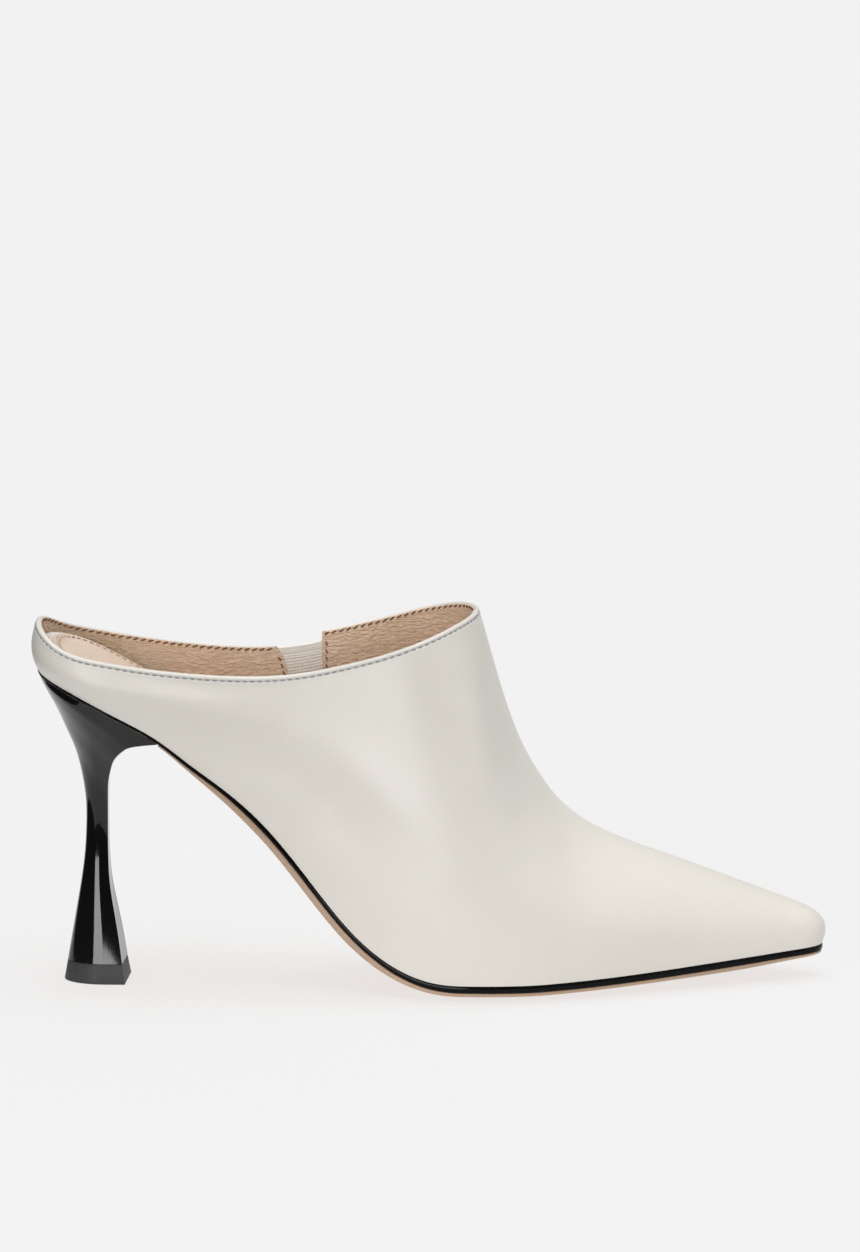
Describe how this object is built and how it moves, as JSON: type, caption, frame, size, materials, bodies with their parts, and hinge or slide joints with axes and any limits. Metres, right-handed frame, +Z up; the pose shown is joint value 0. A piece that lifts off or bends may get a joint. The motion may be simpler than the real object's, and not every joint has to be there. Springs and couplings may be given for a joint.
{
  "type": "heeled mule",
  "caption": "Pointed slip-on mule with a high closed vamp, a low counter, a slanting oval collar and a tall waisted heel.",
  "frame": {"origin": "on the floor, under the middle of the shoe's box", "axes": "+X from the heel to the toe, +Y to the inner side of the foot, +Z up"},
  "size_m": [0.244, 0.0786, 0.1165],
  "materials": {
    "upper_leather": "smooth off-white leather, semi-matte, with a tan leather lining",
    "gore_elastic": "ribbed off-white elastic",
    "insole_leather": "ivory leather over board and cushion",
    "sock_leather": "pinkish beige padded leather, stitched round its edge",
    "rand_black": "glossy black edge",
    "outsole_leather": "tan sole leather",
    "heel_gloss": "polished black lacquer",
    "lift_rubber": "matte black hard rubber"
  },
  "bodies": {
    "root": {"upper": "upper_leather", "elastic_gore": "gore_elastic", "insole": "insole_leather", "sock_pad": "sock_leather", "rand": "rand_black", "outsole": "outsole_leather", "heel_block": "heel_gloss", "top_lift": "lift_rubber"}
  },
  "joints": []
}
